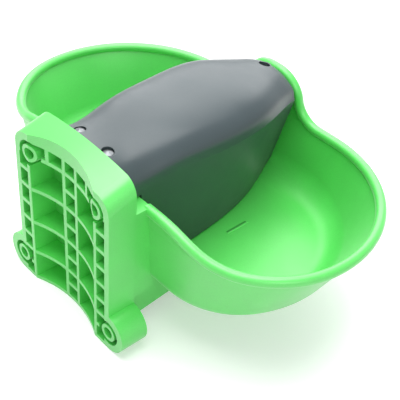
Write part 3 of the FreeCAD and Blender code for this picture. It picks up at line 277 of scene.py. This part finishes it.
def moulded_bar(name, place, size, material):
    """A small rounded bar that is part of the bowl's moulding."""
    shape = bmesh.new()
    bmesh.ops.create_cube(shape, size=1.0)
    bmesh.ops.scale(shape, verts=shape.verts, vec=size)
    bmesh.ops.bevel(shape, geom=shape.edges[:], offset=size[2] * EDGE_ROUNDING, segments=3, profile=0.5,
                    affect="EDGES", material=-1)
    bmesh.ops.translate(shape, verts=shape.verts, vec=place)
    mesh = bpy.data.meshes.new(name)
    shape.to_mesh(mesh)
    shape.free()
    mesh.shade_smooth()
    bar = bpy.data.objects.new(name, mesh)
    bpy.context.scene.collection.objects.link(bar)
    bar.data.materials.append(material)
    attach(bar, "bowl")


class BuildMark(bpy.types.Operator):
    """Builds the moulded mark on the floor beside the cover: its ridge and a darker bar of painted shade for
    its groove
    """
    bl_idname = "drinking_bowl.mark"
    bl_label = "Moulded mark"

    def execute(self, context):
        sizes = context.scene.bowl_sizes
        colours = context.scene.bowl_colours
        length, width, height = sizes.mark_length, sizes.mark_width, sizes.mark_height
        x, y, z = MARK_PLACE
        # painted shade: the same polypropylene, darker and duller, on a low bar proud of the floor that
        # stands for the shaded groove
        shaded = moulded_plastic("shaded_polypropylene", colours.mark, roughness=0.4, grain=sizes.grain,
                                 haze=0.1)
        moulded_bar("mark_groove_painted_shade", (x, y, z), (width, length, height), shaded)
        green = green_polypropylene("mark_polypropylene", colours.bowl, sizes.grain)
        moulded_bar("mark_ridge", (x + width * RIDGE_SHIFT, y, z),
                    (width * RIDGE_WIDTH, length + width, height * 2), green)
        return {"FINISHED"}


class BuildCover(bpy.types.Operator):
    """Builds the grey cover and its screws"""
    bl_idname = "drinking_bowl.cover"
    bl_label = "Cover"

    def execute(self, context):
        colours = context.scene.bowl_colours
        grain = context.scene.bowl_sizes.grain
        # polypropylene from a polished mould: soft broad highlights along its crown
        grey = moulded_plastic("grey_polypropylene", colours.cover, roughness=0.34, grain=grain, haze=0.04)
        dress(["cover"], grey)
        # stainless steel, cold headed and tumbled: dull grey with a soft reflection
        dress(["cover_screws"], turned_metal("stainless_screw", colours.steel, roughness=0.36, marks=0.0006))
        return {"FINISHED"}


class BuildValve(bpy.types.Operator):
    """Dresses the float valve with its lever and float"""
    bl_idname = "drinking_bowl.valve"
    bl_label = "Float valve"

    def execute(self, context):
        colours = context.scene.bowl_colours
        grain = context.scene.bowl_sizes.grain
        # brass, cast and turned: warm yellow with small dark stains and tool marks
        brass = turned_metal("cast_brass", colours.brass, roughness=0.3, marks=0.0005)
        dress(["valve_body", "inlet_backnut", "valve_piston", "seal_cap", "float_lever", "float_stem",
               "float_nuts"], brass)
        # stainless steel, drawn and turned: brighter than the screws
        steel = turned_metal("stainless_pin", colours.steel, roughness=0.25, marks=0.0004)
        dress(["lever_pin", "pin_clip"], steel)
        rubber = nitrile_rubber("nitrile_rubber", colours.rubber, grain)
        dress(["inlet_gasket", "inlet_washer", "piston_seal"], rubber)
        # acetal, moulded: milky white and smooth, with half the depth of grain
        white = moulded_plastic("white_acetal", colours.nozzle, roughness=0.36, grain=grain * 0.6,
                                depth=GRAIN_DEPTH * 0.5)
        dress(["inlet_strainer", "valve_nozzle"], white)
        # polypropylene, moulded in two shells: satin blue
        blue = moulded_plastic("blue_polypropylene", colours.float, roughness=0.38, grain=grain)
        dress(["float_upper", "float_lower"], blue)
        return {"FINISHED"}


class BuildDrain(bpy.types.Operator):
    """Dresses the drain plug and its seal"""
    bl_idname = "drinking_bowl.drain"
    bl_label = "Drain plug"

    def execute(self, context):
        colours = context.scene.bowl_colours
        grain = context.scene.bowl_sizes.grain
        # nylon, moulded: near black and matt, with a deeper grain
        black = moulded_plastic("black_nylon", colours.plug, roughness=0.48, grain=grain,
                                depth=GRAIN_DEPTH * 1.5)
        dress(["drain_plug"], black)
        dress(["drain_seal"], nitrile_rubber("drain_rubber", colours.rubber, grain))
        return {"FINISHED"}


def seen_rays(tree):
    """1 for rays from the camera or a glossy reflection, and 0 for rays that only gather light."""
    path = add_node(tree, "ShaderNodeLightPath")
    seen = add_node(tree, "ShaderNodeMath", {
        0: path.outputs["Is Camera Ray"], 1: path.outputs["Is Glossy Ray"],
    }, operation="MAXIMUM")
    return seen.outputs["Value"]


class BuildStage(bpy.types.Operator):
    """Sets up the floor, the light and the camera"""
    bl_idname = "drinking_bowl.stage"
    bl_label = "Stage"

    def execute(self, context):
        scene = context.scene
        self.floor(scene)
        self.sky(scene)
        for name, (place, size, power) in LIGHTS.items():
            self.lamp(scene, name, place, size, power)
        self.camera(scene)
        return {"FINISHED"}

    def floor(self, scene):
        """A flat floor just under the bowl."""
        shape = bmesh.new()
        bmesh.ops.create_grid(shape, x_segments=1, y_segments=1, size=scene.bowl_sizes.floor)
        bmesh.ops.translate(shape, verts=shape.verts, vec=(0, 0, CAD_BOX[0][2] - FLOOR_GAP))
        mesh = bpy.data.meshes.new("floor")
        shape.to_mesh(mesh)
        shape.free()
        floor = bpy.data.objects.new("floor", mesh)
        scene.collection.objects.link(floor)
        floor.data.materials.append(self.floor_material())

    def floor_material(self):
        """White painted board: pure white to the camera, and it keeps the object's shadow."""
        material, tree = new_material("white_board")
        matt = add_node(tree, "ShaderNodeBsdfDiffuse", {"Color": FLOOR_GREY})
        glow = add_node(tree, "ShaderNodeEmission", {"Color": WHITE, "Strength": FLOOR_GLOW})
        both = add_node(tree, "ShaderNodeAddShader", {0: matt.outputs["BSDF"], 1: glow.outputs["Emission"]})
        mix = add_node(tree, "ShaderNodeMixShader", {
            "Fac": seen_rays(tree), 1: matt.outputs["BSDF"], 2: both.outputs["Shader"],
        })
        add_node(tree, "ShaderNodeOutputMaterial", {"Surface": mix.outputs["Shader"]})
        return material

    def sky(self, scene):
        """Soft even light all round, and white behind the object."""
        world = bpy.data.worlds.new("studio")
        scene.world = world
        world.use_nodes = True
        tree = world.node_tree
        tree.nodes.clear()
        soft = add_node(tree, "ShaderNodeBackground", {"Color": WHITE, "Strength": SKY_STRENGTH})
        white = add_node(tree, "ShaderNodeBackground", {"Color": WHITE, "Strength": 1.0})
        mix = add_node(tree, "ShaderNodeMixShader", {
            "Fac": seen_rays(tree), 1: soft.outputs["Background"], 2: white.outputs["Background"],
        })
        add_node(tree, "ShaderNodeOutputWorld", {"Surface": mix.outputs["Shader"]})

    def lamp(self, scene, name, place, size, power):
        """A soft rectangular light that faces the middle of the bowl."""
        data = bpy.data.lights.new(name, "AREA")
        data.shape = "RECTANGLE"
        data.size, data.size_y = size
        data.energy = power
        lamp = bpy.data.objects.new(name, data)
        scene.collection.objects.link(lamp)
        lamp.location = place
        lamp.rotation_euler = (Vector(MIDDLE) - Vector(place)).to_track_quat("-Z", "Y").to_euler()

    def camera(self, scene):
        """The photograph's viewpoint."""
        data = bpy.data.cameras.new("camera")
        data.sensor_width = 36.0
        data.lens = LENS
        data.shift_x = SHIFT_X
        data.shift_y = SHIFT_Y
        camera = bpy.data.objects.new("camera", data)
        scene.collection.objects.link(camera)
        camera.location = CAMERA_PLACE
        camera.rotation_euler = [math.radians(angle) for angle in CAMERA_TURN]
        scene.camera = camera
        scene.view_settings.view_transform = "Standard"


class BowlPanel(bpy.types.Panel):
    """Lists the pieces of the bowl"""
    bl_idname = "VIEW3D_PT_drinking_bowl"
    bl_label = "Drinking bowl"
    bl_space_type = "VIEW_3D"
    bl_region_type = "UI"
    bl_category = "Drinking bowl"

    def draw(self, context):
        for builder in BUILDERS:
            self.layout.operator(builder.bl_idname)


BUILDERS = (BuildBowl, BuildMark, BuildCover, BuildValve, BuildDrain, BuildStage)
CLASSES = (BowlColours, BowlSizes) + BUILDERS + (BowlPanel,)


def register():
    for item in CLASSES:
        bpy.utils.register_class(item)
    bpy.types.Scene.bowl_colours = bpy.props.PointerProperty(type=BowlColours)
    bpy.types.Scene.bowl_sizes = bpy.props.PointerProperty(type=BowlSizes)


def unregister():
    del bpy.types.Scene.bowl_sizes
    del bpy.types.Scene.bowl_colours
    for item in reversed(CLASSES):
        bpy.utils.unregister_class(item)


def main():
    register()
    bpy.ops.drinking_bowl.bowl()
    bpy.ops.drinking_bowl.mark()
    bpy.ops.drinking_bowl.cover()
    bpy.ops.drinking_bowl.valve()
    bpy.ops.drinking_bowl.drain()
    bpy.ops.drinking_bowl.stage()


if __name__ == "__main__":
    main()
